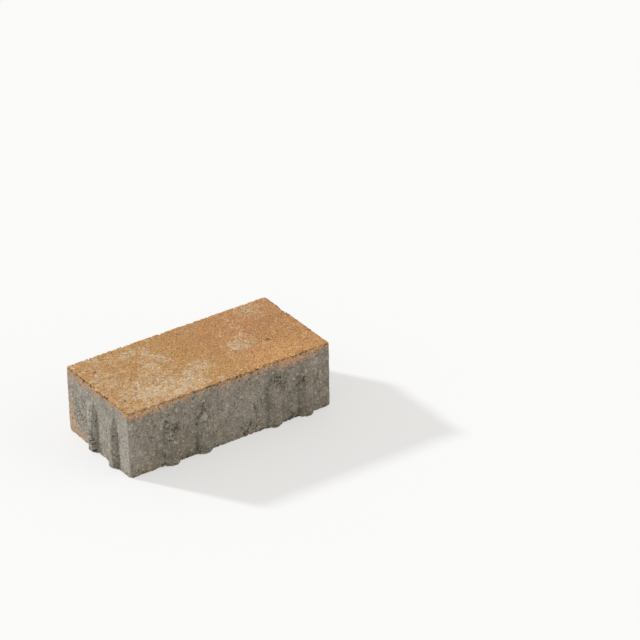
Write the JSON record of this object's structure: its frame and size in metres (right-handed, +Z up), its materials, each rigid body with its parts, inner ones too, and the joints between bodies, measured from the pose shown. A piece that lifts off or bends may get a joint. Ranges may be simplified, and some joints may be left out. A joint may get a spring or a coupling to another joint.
{
  "type": "concrete paving stone",
  "caption": "Rectangular pressed concrete paving stone with a coloured facing and upright spacer ribs on its sides, laid in sand as paving.",
  "frame": {"origin": "middle of the bedding face, centred on the stone's box", "axes": "+X along the stone, +Y across it, +Z up through the walking face"},
  "size_m": [0.204, 0.104, 0.06],
  "materials": {
    "concrete": "rough pressed concrete, ochre facing on a grey core"
  },
  "bodies": {
    "root": {"paving_stone": "concrete"}
  },
  "joints": []
}
